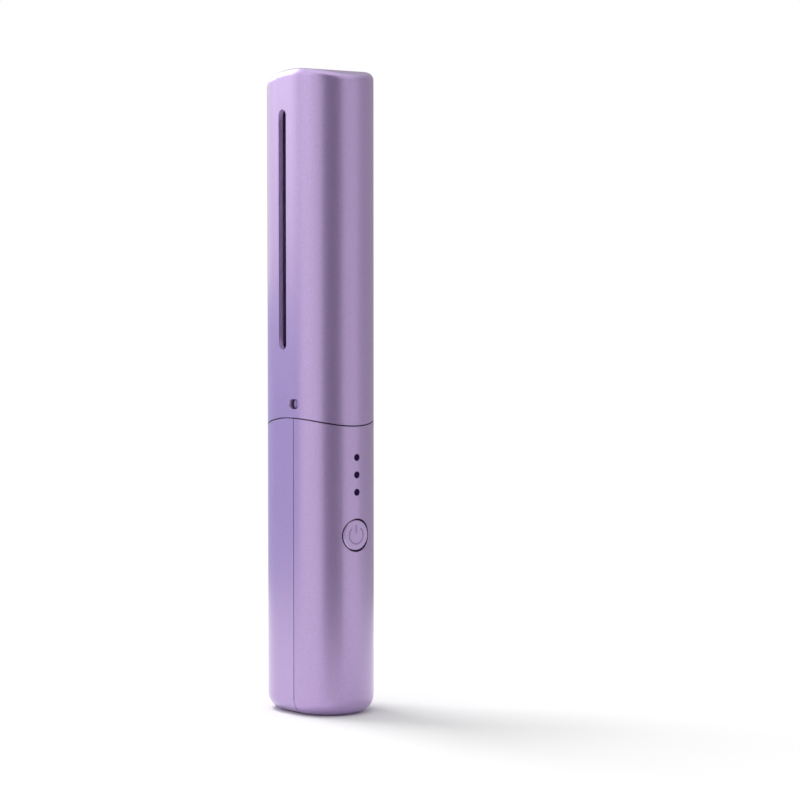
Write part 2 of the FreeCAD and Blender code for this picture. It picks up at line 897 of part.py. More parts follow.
def board_screw_spots():
    """Two of the four standoffs, opposite each other, take a screw."""
    return standoff_spots()[0], standoff_spots()[-1]


def main_board():
    blank = box("board_blank", (-of("board_half"), of("board_half")), (-of("board_front"), board_back()),
                (of("board_low"), board_high()))
    holes = [rod("board_hole_%d" % (index + 1), "y", (x, -REACH, z),
                 of("screw_radius") + of("screw_slack"), REACH)
             for index, (x, z) in enumerate(board_screw_spots())]
    return cut("main_board", blank, *holes)


def screw(name, x, y, z, length):
    """A pan-head screw that points along +Y, its head's underside at y."""
    shank = rod(name + "_shank", "y", (x, y, z), of("screw_radius"), length)
    head = rod(name + "_head", "y", (x, y - of("screw_head_thick"), z), of("screw_head_radius"),
               of("screw_head_thick"))
    return fuse(name, shank, head)


def board_screws():
    length = frame_back() + of("board_front") - of("screw_slack")
    return group("board_screws", *[
        screw("board_screw_%d" % (index + 1), x, -of("board_front"), z, length)
        for index, (x, z) in enumerate(board_screw_spots())])


def frame_screws():
    length = of("frame_thick") + of("screw_bite")
    return group("frame_screws", *[
        screw("frame_screw_%d" % (index + 1), of("boss_out") * sign, frame_front(), z, length)
        for index, (sign, z) in enumerate(boss_spots())])


def inner_frame():
    half = of("frame_half")
    plate = box("frame_plate", (-half, half), (frame_front(), frame_back()),
                (frame_low(), frame_high()))
    pieces = [plate]
    for index, (x, z) in enumerate(standoff_spots()):
        pieces.append(rod("standoff_%d" % (index + 1), "y", (x, board_back(), z),
                          of("standoff_radius"), frame_front() - board_back()))
    shelf = of("shelf_half")
    for name, low in (("low", cell_low() - of("tab_thick") - of("shelf_thick")),
                      ("high", cell_top() + of("tab_thick"))):
        pieces.append(box("cell_shelf_" + name, (-shelf, shelf), (frame_back() - OVER / 2,
                                                                 of("shelf_reach")),
                          (low, low + of("shelf_thick"))))
    bore = of("screw_radius") + of("screw_slack")
    holes = [rod("standoff_bore_%d" % (index + 1), "y", (x, -REACH, z), bore, REACH)
             for index, (x, z) in enumerate(board_screw_spots())]
    holes += [rod("frame_bore_%d" % (index + 1), "y", (of("boss_out") * sign, -REACH, z), bore, REACH)
              for index, (sign, z) in enumerate(boss_spots())]
    return cut("inner_frame", fuse("frame_solid", *pieces), *holes)


def battery_cell():
    return rod("battery_cell", "z", (0, cell_y(), cell_low()), of("cell_radius"), of("cell_length"))


def battery_tabs():
    half = of("tab_half")
    top = cell_top()
    return group("battery_tabs", *[
        box("battery_tab_" + name, (-half, half), (cell_y() - half, cell_y() + half),
            (low, low + of("tab_thick")))
        for name, low in (("low", cell_low() - of("tab_thick")), ("high", top))])


def battery_foam():
    half = of("foam_half")
    inset = of("foam_inset")
    return box("battery_foam", (-half, half),
               (frame_back(), cell_y() - of("cell_radius") - of("cell_slack")),
               (cell_low() + inset, cell_top() - inset))


def button_face():
    return -DEEP + of("button_recess")


def button_flange_front():
    return -DEEP + of("button_flange_depth")


def power_button():
    face, flange = button_face(), button_flange_front()
    back = flange + of("button_flange_thick")
    stem = rod("button_stem", "y", (0, face, of("button_height")), of("button_radius"), back - face)
    soft = bevelled("button_soft", stem, lambda e: e.BoundBox.YMax < face.value + SIZES["button_dish"],
                   of("button_dish"))
    collar = rod("button_flange", "y", (0, flange, of("button_height")), of("button_flange_radius"),
                 of("button_flange_thick"))
    return fuse("power_button", soft, collar)


def switch_front():
    return -of("board_front") - of("switch_deep")


def tact_switch():
    half = of("switch_half")
    can = box("switch_can", (-half, half), (switch_front(), -of("board_front")),
              (of("button_height") - half, of("button_height") + half))
    bore = rod("switch_bore", "y", (0, switch_front() - OVER, of("button_height")),
               of("plunger_radius") + of("plunger_slack"),
               OVER + of("plunger_seat") + of("button_travel") + of("plunger_slack"))
    return cut("tact_switch", can, bore)


def switch_plunger():
    back = button_flange_front() + of("button_flange_thick")
    return rod("switch_plunger", "y", (0, back, of("button_height")), of("plunger_radius"),
               switch_front() + of("plunger_seat") - back)


def light_guide():
    """Three lens pins joined by a bar behind the shell."""
    bar_front = -DEEP + of("lens_bar_depth")
    pieces = []
    for index in range(LED_COUNT):
        pieces.append(rod("lens_%d" % (index + 1), "y", (0, -DEEP + of("lens_recess"), led_height(index)),
                          of("led_radius"), led_front() - of("fit_gap") + DEEP - of("lens_recess")))
    half = of("lens_bar_half")
    pieces.append(box("lens_bar", (-half, half), (bar_front, bar_front + of("lens_bar_thick")),
                      (led_height(LED_COUNT - 1) - half, led_height(0) + half)))
    return fuse("light_guide", *pieces)


def led_front():
    return -of("board_front") - of("led_deep")


def indicator_leds():
    half = of("led_half")
    return group("indicator_leds", *[
        box("led_%d" % (index + 1), (-half, half), (led_front(), -of("board_front")),
            (led_height(index) - half, led_height(index) + half)) for index in range(LED_COUNT)])


def usb_y():
    return board_back() + of("usb_deep") / 2


def usb_outline(slack):
    """The socket's round-ended outline in plan, grown by some slack."""
    tall = of("usb_deep") / 2 + slack
    wide = of("usb_half") + slack - tall
    middle = usb_y()
    return [(wide, middle - tall), (wide + tall, middle, tall, 1), (wide, middle + tall, tall, 1),
            (-wide, middle + tall), (-(wide + tall), middle, tall, 1), (-wide, middle - tall, tall, 1)]


def usb_socket():
    wall = of("usb_wall")
    shell = prism("usb_shell", "plan", usb_outline(size(0)), of("usb_mouth"), of("usb_top"))
    room = prism("usb_room", "plan", usb_outline(-wall), size(0), of("usb_top") - wall)
    return cut("usb_socket", shell, room)


def usb_tongue():
    half, thick = of("usb_tongue_half"), of("usb_tongue_thick") / 2
    return box("usb_tongue", (-half, half), (usb_y() - thick, usb_y() + thick),
               (of("usb_mouth") + of("usb_tongue_step"), of("usb_top") - of("usb_wall")))


def board_part(name, key):
    """A square package on the front of the board."""
    half = of(key + "_half")
    return box(name, (-half, half), (-of("board_front") - of(key + "_deep"), -of("board_front")),
               (of(key + "_height") - half, of(key + "_height") + half))


def heater_leads():
    low = board_high() - of("lead_bite")
    return group("heater_leads", *[
        rod("lead_%s" % name, "z", (of("lead_out") * sign, lead_y(), low), of("lead_radius"),
            ELEMENT_LOW - low) for name, sign in (("left", -1), ("right", 1))])


def pieces():
    shell = cut("handle_shell", handle_block(), handle_room())
    body, cover = comb_pieces()
    return [
        cap(), handle_front_shell(shell), handle_back_shell(shell), body, cover,
        heater_block(), heater_pad(), heating_element(), element_clamp(), temperature_sensor(),
        thermal_fuse(), heat_shield(), main_board(), board_screws(), inner_frame(), frame_screws(),
        battery_cell(), battery_tabs(), battery_foam(), power_button(), tact_switch(),
        switch_plunger(), light_guide(), indicator_leds(), usb_socket(), usb_tongue(),
        board_part("controller_chip", "chip"), board_part("heater_driver", "driver"),
        board_part("charge_coil", "coil"), heater_leads(),
    ]


def write(parts):
    DOC.recompute()
    for item in DOC.Objects:
        if "Invalid" in item.State or "Error" in item.State:
            raise RuntimeError("%s did not build: %s" % (item.Name, item.State))
    os.makedirs("parts", exist_ok=True)
    for item in parts:
        item.Label = item.Name
        shape = item.Shape
        if shape.isNull() or not shape.isValid() or not shape.Solids:
            raise RuntimeError("%s is not a valid solid" % item.Name)
        print("%-20s %2d solids %10.1f mm3" % (item.Label, len(shape.Solids), shape.Volume))
        shape.exportStep("parts/%s.step" % item.Label)


write(pieces())
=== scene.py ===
import math

import bpy
import numpy as np
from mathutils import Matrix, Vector


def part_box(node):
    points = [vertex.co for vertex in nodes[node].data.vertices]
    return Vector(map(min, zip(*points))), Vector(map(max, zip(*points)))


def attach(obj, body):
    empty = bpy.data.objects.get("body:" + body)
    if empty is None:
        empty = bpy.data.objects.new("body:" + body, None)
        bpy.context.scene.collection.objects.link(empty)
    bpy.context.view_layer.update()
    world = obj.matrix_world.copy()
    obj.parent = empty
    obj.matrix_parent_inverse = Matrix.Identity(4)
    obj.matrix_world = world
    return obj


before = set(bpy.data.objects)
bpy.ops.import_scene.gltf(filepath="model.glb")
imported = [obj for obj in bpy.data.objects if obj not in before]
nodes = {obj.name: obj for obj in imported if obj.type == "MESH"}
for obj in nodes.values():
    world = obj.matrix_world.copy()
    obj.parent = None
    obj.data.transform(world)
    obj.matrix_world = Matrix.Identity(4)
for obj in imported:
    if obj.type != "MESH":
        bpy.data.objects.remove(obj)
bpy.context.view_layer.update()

opaque = (1.0,)
white = (1.0, 1.0, 1.0, 1.0)
print("frame loaded:", len(nodes), "nodes")


# small helpers for shader trees

def addNode(tree, kind, **settings):
    made = tree.nodes.new(kind)
    for name, value in settings.items():
        if name in made.inputs:
            made.inputs[name].default_value = value
        else:
            setattr(made, name, value)
    return made


# every effect group gives a colour, a roughness and a height
def newGroup(name, colours, numbers):
    tree = bpy.data.node_groups.new(name, "ShaderNodeTree")
    sockets = [(label, "INPUT", "NodeSocketColor") for label in colours]
    sockets += [(label, "INPUT", "NodeSocketFloat") for label in numbers]
    sockets += [("Color", "OUTPUT", "NodeSocketColor"), ("Roughness", "OUTPUT", "NodeSocketFloat"),
                ("Height", "OUTPUT", "NodeSocketFloat")]
    for label, way, kind in sockets:
        tree.interface.new_socket(label, in_out=way, socket_type=kind)
    return tree, tree.nodes.new("NodeGroupInput"), tree.nodes.new("NodeGroupOutput")


# noise in the object's own space; a stretch scales its axes first
def objectNoise(tree, scale, fineness, stretch=None):
    where = tree.nodes.new("ShaderNodeTexCoord").outputs["Object"]
    if stretch:
        squeeze = addNode(tree, "ShaderNodeMapping", Scale=stretch)
        tree.links.new(where, squeeze.inputs["Vector"])
        where = squeeze.outputs["Vector"]
    noise = addNode(tree, "ShaderNodeTexNoise", **fineness)
    tree.links.new(where, noise.inputs["Vector"])
    tree.links.new(scale, noise.inputs["Scale"])
    return noise.outputs["Fac"]


def roughFrom(tree, gin, gout, noise):
    spread = tree.nodes.new("ShaderNodeMapRange")
    tree.links.new(noise, spread.inputs["Value"])
    tree.links.new(gin.outputs["Rough Low"], spread.inputs["To Min"])
    tree.links.new(gin.outputs["Rough High"], spread.inputs["To Max"])
    tree.links.new(spread.outputs["Result"], gout.inputs["Roughness"])


# where the mix node keeps its sockets when it mixes colours
mixSockets = {"share": 0, "low": 6, "high": 7, "result": 2}


def mixColours(tree, share, low, high):
    made = addNode(tree, "ShaderNodeMix", data_type="RGBA")
    tree.links.new(share, made.inputs[mixSockets["share"]])
    for end, source in (("low", low), ("high", high)):
        socket = made.inputs[mixSockets[end]]
        if isinstance(source, tuple):
            socket.default_value = source
        else:
            tree.links.new(source, socket)
    return made.outputs[mixSockets["result"]]


noises = {
    "flakes": {"Detail": 2.0, "Roughness": 0.7},
    "drift": {"Detail": 3.0, "Roughness": 0.5},
    "grain": {"Detail": 4.0, "Roughness": 0.6},
    "lines": {"Detail": 3.0, "Roughness": 0.6},
    "lineStretch": (1.0, 1.0, 0.03),      # the lines run along Z
    "middle": 0.5,                        # what the noise swings about
}


# metal flakes under a paint: small cells that tint the colour and rock the normal,
# over a slow drift of the roughness
def makeFlakeGroup():
    tree, gin, gout = newGroup(
        "flakePaint", ("Paint",),
        ("Flake Scale", "Flake Strength", "Drift Scale", "Rough Low", "Rough High"))
    flakes = objectNoise(tree, gin.outputs["Flake Scale"], noises["flakes"])
    drift = objectNoise(tree, gin.outputs["Drift Scale"], noises["drift"])
    centred = addNode(tree, "ShaderNodeMath", operation="SUBTRACT")
    centred.inputs[1].default_value = noises["middle"]
    tint = addNode(tree, "ShaderNodeMath", operation="MULTIPLY_ADD")
    tint.inputs[2].default_value = 1.0
    shade = addNode(tree, "ShaderNodeVectorMath", operation="SCALE")
    tree.links.new(flakes, centred.inputs[0])
    tree.links.new(centred.outputs[0], tint.inputs[0])
    tree.links.new(gin.outputs["Flake Strength"], tint.inputs[1])
    tree.links.new(gin.outputs["Paint"], shade.inputs[0])
    tree.links.new(tint.outputs[0], shade.inputs["Scale"])
    tree.links.new(shade.outputs[0], gout.inputs["Color"])
    tree.links.new(flakes, gout.inputs["Height"])
    roughFrom(tree, gin, gout, drift)
    return tree


# one noise drives colour, roughness and height: moulded or cast grain, and with a stretch
# the lines that rolling or extruding leaves
def makeGrainGroup(name, fineness, stretch=None):
    tree, gin, gout = newGroup(name, ("Dark", "Light"), ("Scale", "Rough Low", "Rough High"))
    grain = objectNoise(tree, gin.outputs["Scale"], fineness, stretch)
    colour = mixColours(tree, grain, gin.outputs["Dark"], gin.outputs["Light"])
    tree.links.new(colour, gout.inputs["Color"])
    tree.links.new(grain, gout.inputs["Height"])
    roughFrom(tree, gin, gout, grain)
    return tree


groups = {
    "flake": makeFlakeGroup(),
    "grain": makeGrainGroup("mouldedGrain", noises["grain"]),
    "drawn": makeGrainGroup("drawnMetal", noises["lines"], noises["lineStretch"]),
}
print("effect groups made:", len(groups))


# a finish: one effect group feeds colour, roughness and a bump, the rest sits on the shader
def makeFinish(name, effect, values, bump, sockets):
    material = bpy.data.materials.new(name)
    material.use_nodes = True
    tree = material.node_tree
    shader = tree.nodes["Principled BSDF"]
    look = addNode(tree, "ShaderNodeGroup", node_tree=groups[effect])
    for label, value in values.items():
        look.inputs[label].default_value = value
    tree.links.new(look.outputs["Color"], shader.inputs["Base Color"])
    tree.links.new(look.outputs["Roughness"], shader.inputs["Roughness"])
    if bump:
        ripple = addNode(tree, "ShaderNodeBump", Strength=bump["strength"], Distance=bump["distance"])
        tree.links.new(look.outputs["Height"], ripple.inputs["Height"])
        tree.links.new(ripple.outputs["Normal"], shader.inputs["Normal"])
    for label, value in sockets.items():
        shader.inputs[label].default_value = value
    return material


# painted shade and painted light from how open a point is to the air close by: a painted black shade
# for the narrow gaps, and further round the same black for deep holes, then a pale lilac painted on
# the slots' walls to lighten them; the metallic share comes back with the paint
def paintGapShade(material, gaps, metallic):
    tree = material.node_tree
    shader = tree.nodes["Principled BSDF"]
    painted = shader.inputs["Base Color"].links[0].from_socket
    place = tree.nodes.new("ShaderNodeTexCoord")
    split = tree.nodes.new("ShaderNodeSeparateXYZ")
    foot = addNode(tree, "ShaderNodeMath", operation="LESS_THAN")
    foot.inputs[1].default_value = gaps["footTop"]
    tree.links.new(place.outputs["Object"], split.inputs[0])
    tree.links.new(split.outputs["Z"], foot.inputs[0])

    def openAir(reach):
        air = addNode(tree, "ShaderNodeAmbientOcclusion", samples=gaps["rays"], Distance=reach)
        openness = addNode(tree, "ShaderNodeMath", operation="MAXIMUM")
        tree.links.new(air.outputs["AO"], openness.inputs[0])
        tree.links.new(foot.outputs[0], openness.inputs[1])
        return openness.outputs[0]

    def between(openness, limits, high=1.0):
        made = tree.nodes.new("ShaderNodeMapRange")
        for label, value in zip(("From Min", "From Max", "To Max"), (*limits, high)):
            made.inputs[label].default_value = value
        tree.links.new(openness, made.inputs["Value"])
        return made.outputs["Result"]

    wide, near = openAir(gaps["wallReach"]), openAir(gaps["gapReach"])
    # painted shade in holes and gaps, painted light on the slot walls
    walls = mixColours(tree, between(wide, gaps["holeOpen"]), gaps["black"], gaps["plain"])
    walls = mixColours(tree, between(wide, gaps["wallOpen"]), walls, painted)
    colour = mixColours(tree, between(near, gaps["gapOpen"]), gaps["black"], walls)
    tree.links.new(colour, shader.inputs["Base Color"])
    tree.links.new(between(wide, gaps["wallOpen"], metallic), shader.inputs["Metallic"])
    return material


# lilac paint on the shells, the cap, the comb and the button
lilac = {
    "colour": (0.45, 0.305, 0.605, 1.0),
    "flakeScale": 2400.0,
    "flakeStrength": 0.45,
    "driftScale": 30.0,
    "rough": (0.30, 0.38),
    "metallic": 0.60,
    "coat": 1.0,
    "coatIor": 1.75,
    "coatRoughness": 0.30,
    "bump": {"strength": 0.30, "distance": 0.00012},
    "gaps": {
        # black is painted shade for gaps and holes; the pale lilac below is painted light on the
        # slots' walls
        "black": (0.017, 0.004, 0.038, 1.0),
        "plain": (0.78, 0.58, 1.0, 1.0),
        "gapReach": 0.0014,         # how far round a point the air counts, for gaps and for walls
        "wallReach": 0.004,
        "gapOpen": (0.40, 0.72),    # shares of open air between which one look gives way to the next
        "holeOpen": (0.32, 0.50),
        "wallOpen": (0.75, 0.95),
        "footTop": 0.0045,          # below this the floor would shut in the painted foot
        "rays": 8,
    },
}


def lilacPaint(name, colour, rough):
    values = {"Paint": colour, "Flake Scale": lilac["flakeScale"],
              "Flake Strength": lilac["flakeStrength"], "Drift Scale": lilac["driftScale"],
              "Rough Low": rough[0], "Rough High": rough[1]}
    sockets = {"Metallic": lilac["metallic"], "Coat Weight": lilac["coat"],
               "Coat IOR": lilac["coatIor"], "Coat Roughness": lilac["coatRoughness"]}
    return makeFinish(name, "flake", values, lilac["bump"], sockets)


# the other finishes: two colours that the pattern runs between, its scale, and the roughness's ends
grainFinishes = {
    "heaterBlack": {
        "effect": "drawn", "dark": (0.010, 0.010, 0.011), "light": (0.030, 0.029, 0.033),
        "scale": 2600.0, "rough": (0.38, 0.52),
        "bump": {"strength": 0.15, "distance": 0.0001}, "sockets": {"Metallic": 0.7}},
    "elementCase": {
        "effect": "drawn", "dark": (0.50, 0.50, 0.50), "light": (0.68, 0.68, 0.67),
        "scale": 3000.0, "rough": (0.25, 0.40),
        "bump": {"strength": 0.12, "distance": 0.0001}, "sockets": {"Metallic": 1.0}},
    "brightSteel": {
        "effect": "drawn", "dark": (0.52, 0.52, 0.53), "light": (0.70, 0.70, 0.71),
        "scale": 3600.0, "rough": (0.18, 0.30),
        "bump": {"strength": 0.08, "distance": 0.00008}, "sockets": {"Metallic": 1.0}},
    "fuseCan": {
        "effect": "drawn", "dark": (0.62, 0.60, 0.55), "light": (0.80, 0.78, 0.74),
        "scale": 3200.0, "rough": (0.20, 0.34),
        "bump": None, "sockets": {"Metallic": 1.0}},
    "amberBead": {
        "effect": "grain", "dark": (0.45, 0.20, 0.06), "light": (0.62, 0.32, 0.12),
        "scale": 900.0, "rough": (0.08, 0.14),
        "bump": None, "sockets": {"Coat Weight": 0.5}},
    "blackMoulding": {
        "effect": "grain", "dark": (0.014, 0.014, 0.015), "light": (0.028, 0.028, 0.030),
        "scale": 2500.0, "rough": (0.40, 0.60),
        "bump": {"strength": 0.2, "distance": 0.0001}, "sockets": {}},
    "ferrite": {
        "effect": "grain", "dark": (0.045, 0.045, 0.048), "light": (0.085, 0.083, 0.085),
        "scale": 1800.0, "rough": (0.55, 0.75),
        "bump": {"strength": 0.3, "distance": 0.0001}, "sockets": {}},
    "heatBoard": {
        "effect": "grain", "dark": (0.68, 0.65, 0.58), "light": (0.84, 0.82, 0.77),
        "scale": 1500.0, "rough": (0.70, 0.85),
        "bump": {"strength": 0.25, "distance": 0.0001}, "sockets": {}},
    "solderMask": {
        "effect": "grain", "dark": (0.012, 0.105, 0.045), "light": (0.030, 0.175, 0.085),
        "scale": 260.0, "rough": (0.22, 0.34),
        "bump": {"strength": 0.1, "distance": 0.00006}, "sockets": {"Coat Weight": 0.3}},
    "cellSleeve": {
        "effect": "grain", "dark": (0.035, 0.165, 0.36), "light": (0.06, 0.225, 0.45),
        "scale": 120.0, "rough": (0.24, 0.34),
        "bump": {"strength": 0.1, "distance": 0.0002}, "sockets": {}},
    "greyFoam": {
        "effect": "grain", "dark": (0.06, 0.06, 0.062), "light": (0.15, 0.15, 0.15),
        "scale": 1900.0, "rough": (0.85, 0.97),
        "bump": {"strength": 0.7, "distance": 0.0003}, "sockets": {}},
    "smokedLens": {
        "effect": "grain", "dark": (0.012, 0.002, 0.028), "light": (0.020, 0.004, 0.044),
        "scale": 700.0, "rough": (0.45, 0.55),
        "bump": None, "sockets": {"Specular IOR Level": 0.05}},
    "ledBody": {
        "effect": "grain", "dark": (0.72, 0.71, 0.62), "light": (0.86, 0.85, 0.78),
        "scale": 1600.0, "rough": (0.30, 0.42),
        "bump": None, "sockets": {}},
    "leadSleeve": {
        "effect": "grain", "dark": (0.42, 0.022, 0.018), "light": (0.58, 0.045, 0.036),
        "scale": 800.0, "rough": (0.42, 0.55),
        "bump": {"strength": 0.1, "distance": 0.0001}, "sockets": {}},
}


def grainFinish(name, look):
    values = {"Dark": look["dark"] + opaque, "Light": look["light"] + opaque, "Scale": look["scale"],
              "Rough Low": look["rough"][0], "Rough High": look["rough"][1]}
    return makeFinish(name, look["effect"], values, look["bump"], look["sockets"])


finishes = {name: grainFinish(name, look) for name, look in grainFinishes.items()}
for name in ("lilacPaint", "lilacShellGapShade"):
    finishes[name] = lilacPaint(name, lilac["colour"], lilac["rough"])
# the shells, cap and button get painted shade in their gaps and painted light on their slot walls
paintGapShade(finishes["lilacShellGapShade"], lilac["gaps"], lilac["metallic"])
print("finishes made:", len(finishes))

wears = {
    "lilacShellGapShade": ("protective_cap", "handle_front_shell", "handle_back_shell", "power_button"),
    "lilacPaint": ("comb_body", "comb_spine_cover"),
    "heaterBlack": ("heater_block",),
    "elementCase": ("heating_element",),
    "brightSteel": ("element_clamp", "board_screws", "frame_screws", "usb_socket", "battery_tabs"),
    "fuseCan": ("thermal_fuse",),
    "amberBead": ("temperature_sensor",),
    "blackMoulding": ("heat_shield", "inner_frame", "tact_switch", "controller_chip",
                      "heater_driver", "usb_tongue", "switch_plunger"),
    "ferrite": ("charge_coil",),
    "heatBoard": ("heater_pad",),
    "solderMask": ("main_board",),
    "cellSleeve": ("battery_cell",),
    "greyFoam": ("battery_foam",),
    "smokedLens": ("light_guide",),
    "ledBody": ("indicator_leds",),
    "leadSleeve": ("heater_leads",),
}
for finishName, members in wears.items():
    for member in members:
        slots = nodes[member].data.materials
        slots.clear()
        slots.append(finishes[finishName])
print("CAD nodes dressed:", sum(len(members) for members in wears.values()))


# a ribbon along a path in the XZ plane: at each point a four-cornered section, half the width to
# either side of the path, from the face at lift out towards -Y by thick; both ends are closed
def ribbonMesh(name, path, width, lift, thick):
    tangent = np.gradient(path, axis=0)
    tangent /= np.linalg.norm(tangent, axis=1)[:, None]
    side = np.stack([-tangent[:, 1], tangent[:, 0]], axis=1)
    across = np.array([-1.0, -1.0, 1.0, 1.0])        # round the ribbon's section
    depth = np.array([0.0, 1.0, 1.0, 0.0])
    flat = path[:, None, :] + side[:, None, :] * (across * width / 2)[None, :, None]
    y = np.broadcast_to(lift - depth * thick, flat.shape[:2])
    co = np.stack([flat[..., 0], y, flat[..., 1]], axis=-1).reshape(-1, 3)
    rows, cols = flat.shape[:2]
    i, j = np.meshgrid(np.arange(rows - 1), np.arange(cols), indexing="ij")
    k = (j + 1) % cols
    quads = np.stack([i * cols + j, i * cols + k, (i + 1) * cols + k, (i + 1) * cols + j], axis=-1)
    caps = [list(range(cols)), [(rows - 1) * cols + c for c in reversed(range(cols))]]
    mesh = bpy.data.meshes.new(name)
    mesh.from_pydata(co.tolist(), [], quads.reshape(-1, 4).tolist() + caps)
    mesh.update()
    return mesh


# the power mark on the button: an arc of a circle round the button's middle, and an upright bar
powerMark = {
    "radius": 0.00270,
    "width": 0.00058,
    "thick": 0.00003,
    "top": 90.0,                # degrees: where the arc is open
    "opening": 40.0,            # degrees left open each side of the top
    "arcSteps": 72,
    "bar": (0.0006, 0.0033),    # where the bar starts and ends above the middle
    "barSteps": 8,
    "colour": (0.25, 0.16, 0.38, 1.0),
    "rough": (0.4, 0.5),
}


def makePowerMark():
    low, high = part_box("power_button")
    middle = np.array([(low.x + high.x) / 2, (low.z + high.z) / 2])
    start = powerMark["top"] + powerMark["opening"]
    end = powerMark["top"] + 360.0 - powerMark["opening"]
    turn = np.radians(np.linspace(start, end, powerMark["arcSteps"]))
    ring = middle + powerMark["radius"] * np.stack([np.cos(turn), np.sin(turn)], axis=1)
    up = np.linspace(*powerMark["bar"], powerMark["barSteps"])
    bar = middle + np.stack([np.zeros_like(up), up], axis=1)
    lilacMark = lilacPaint("lilacMark", powerMark["colour"], powerMark["rough"])
    for name, path in (("powerMarkRing", ring), ("powerMarkBar", bar)):
        mesh = ribbonMesh(name, path, powerMark["width"], low.y, powerMark["thick"])
        piece = bpy.data.objects.new(name, mesh)
        bpy.context.scene.collection.objects.link(piece)
        piece.data.materials.append(lilacMark)
        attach(piece, "button")


makePowerMark()
print("power mark made")


# studio: a pale floor, five soft boxes, and five cards that give the paint its bands
studio = {
    "floorSize": 6.0,
    "floorDrop": 0.0001,            # under the foot, so that the two faces do not fight
    "floorPaper": (0.9, 0.9, 0.9, 1.0),
    "floorWhite": (0.0, 1.0),       # share of plain white close by and far off
    "floorFade": (0.02, 0.30),      # where that share climbs, from the object outwards
    "worldGrey": 0.68,
    "aim": (0.0, 0.0, 0.1),
    "lamps": {
        "key": {"azimuth": -92.0, "elevation": 30.0, "distance": 1.1, "size": (0.6, 1.1),
                "watts": 0.9, "glossy": True, "diffuse": True},
        "top": {"azimuth": -60.0, "elevation": 78.0, "distance": 1.2, "size": (0.8, 0.8),
                "watts": 1.0, "glossy": True, "diffuse": True},
        "side": {"azimuth": -140.0, "elevation": 22.0, "distance": 0.54, "size": (0.3, 0.25),
                 "watts": 0.14, "glossy": True, "diffuse": True},
        "back": {"azimuth": -166.0, "elevation": 64.0, "distance": 1.2, "size": (0.42, 0.42),
                 "watts": 8.0, "glossy": False, "diffuse": True},
        "rim": {"azimuth": -168.0, "elevation": 34.0, "distance": 1.0, "size": (0.7, 0.6),
                "watts": 5.0, "glossy": True, "diffuse": False},
    },
    "cards": {
        "frontFlag": {"azimuth": -27.0, "distance": 0.15, "wide": 0.128, "heights": (0.0, 0.45),
                      "colour": (0.02, 0.02, 0.02)},
        "rightFlag": {"azimuth": 92.0, "distance": 0.22, "wide": 0.52, "heights": (0.0, 0.45),
                      "colour": (0.38, 0.38, 0.38)},
        "gapFlag": {"azimuth": 22.0, "distance": 0.34, "wide": 0.22, "heights": (0.0, 0.45),
                    "colour": (0.76, 0.76, 0.76)},
        "backFlag": {"azimuth": 140.0, "distance": 0.30, "wide": 0.26, "heights": (0.0, 0.45),
                     "colour": (0.30, 0.30, 0.32)},
        "sideFlag": {"azimuth": -160.0, "distance": 0.16, "wide": 0.38, "heights": (0.016, 0.13),
                     "colour": (0.50, 0.53, 0.73)},
    },
}


# 1 for the rays that show the background: from the lens, off gloss and through glass
def backgroundRays(tree):
    rays = tree.nodes.new("ShaderNodeLightPath")
    first = addNode(tree, "ShaderNodeMath", operation="MAXIMUM")
    both = addNode(tree, "ShaderNodeMath", operation="MAXIMUM")
    tree.links.new(rays.outputs["Is Camera Ray"], first.inputs[0])
    tree.links.new(rays.outputs["Is Glossy Ray"], first.inputs[1])
    tree.links.new(first.outputs[0], both.inputs[0])
    tree.links.new(rays.outputs["Is Transmission Ray"], both.inputs[1])
    return both.outputs[0]


# an empty material, with its tree and its surface socket
def bareMaterial(name):
    material = bpy.data.materials.new(name)
    material.use_nodes = True
    tree = material.node_tree
    tree.nodes.clear()
    return material, tree, tree.nodes.new("ShaderNodeOutputMaterial").inputs["Surface"]


def mixShaders(tree, share, first, second, surface):
    blend = tree.nodes.new("ShaderNodeMixShader")
    for socket, source in zip(blend.inputs, (share, first.outputs[0], second.outputs[0])):
        tree.links.new(source, socket)
    tree.links.new(blend.outputs[0], surface)


def quadObject(name, corners, material):
    mesh = bpy.data.meshes.new(name)
    mesh.from_pydata(corners, [], [(0, 1, 2, 3)])
    mesh.materials.append(material)
    made = bpy.data.objects.new(name, mesh)
    bpy.context.scene.collection.objects.link(made)
    return made


# white to the eye and in reflections, fading to plain diffuse paper round the object
def makeFloor():
    material, tree, surface = bareMaterial("paleFloor")
    paper = addNode(tree, "ShaderNodeBsdfDiffuse", Color=studio["floorPaper"])
    glow = addNode(tree, "ShaderNodeEmission", Color=white, Strength=1.0)
    place = tree.nodes.new("ShaderNodeTexCoord")
    away = addNode(tree, "ShaderNodeVectorMath", operation="LENGTH")
    fade = addNode(tree, "ShaderNodeMapRange", interpolation_type="SMOOTHSTEP")
    for label, value in zip(("From Min", "From Max", "To Min", "To Max"),
                            studio["floorFade"] + studio["floorWhite"]):
        fade.inputs[label].default_value = value
    share = addNode(tree, "ShaderNodeMath", operation="MULTIPLY")
    tree.links.new(place.outputs["Object"], away.inputs[0])
    tree.links.new(away.outputs["Value"], fade.inputs["Value"])
    tree.links.new(fade.outputs["Result"], share.inputs[0])
    tree.links.new(backgroundRays(tree), share.inputs[1])
    mixShaders(tree, share.outputs[0], paper, glow, surface)
    half, low = studio["floorSize"] / 2, -studio["floorDrop"]
    corners = [(-half, -half, low), (half, -half, low), (half, half, low), (-half, half, low)]
    floor = quadObject("floor", corners, material)


# white behind everything, and a grey room for the light that falls on the object
def makeWorld():
    world = bpy.data.worlds.new("studioWorld")
    bpy.context.scene.world = world
    world.use_nodes = True
    tree = world.node_tree
    tree.nodes.clear()
    out = tree.nodes.new("ShaderNodeOutputWorld")
    room = addNode(tree, "ShaderNodeBackground", Color=white, Strength=studio["worldGrey"])
    backdrop = addNode(tree, "ShaderNodeBackground", Color=white, Strength=1.0)
    mixShaders(tree, backgroundRays(tree), room, backdrop, out.inputs["Surface"])


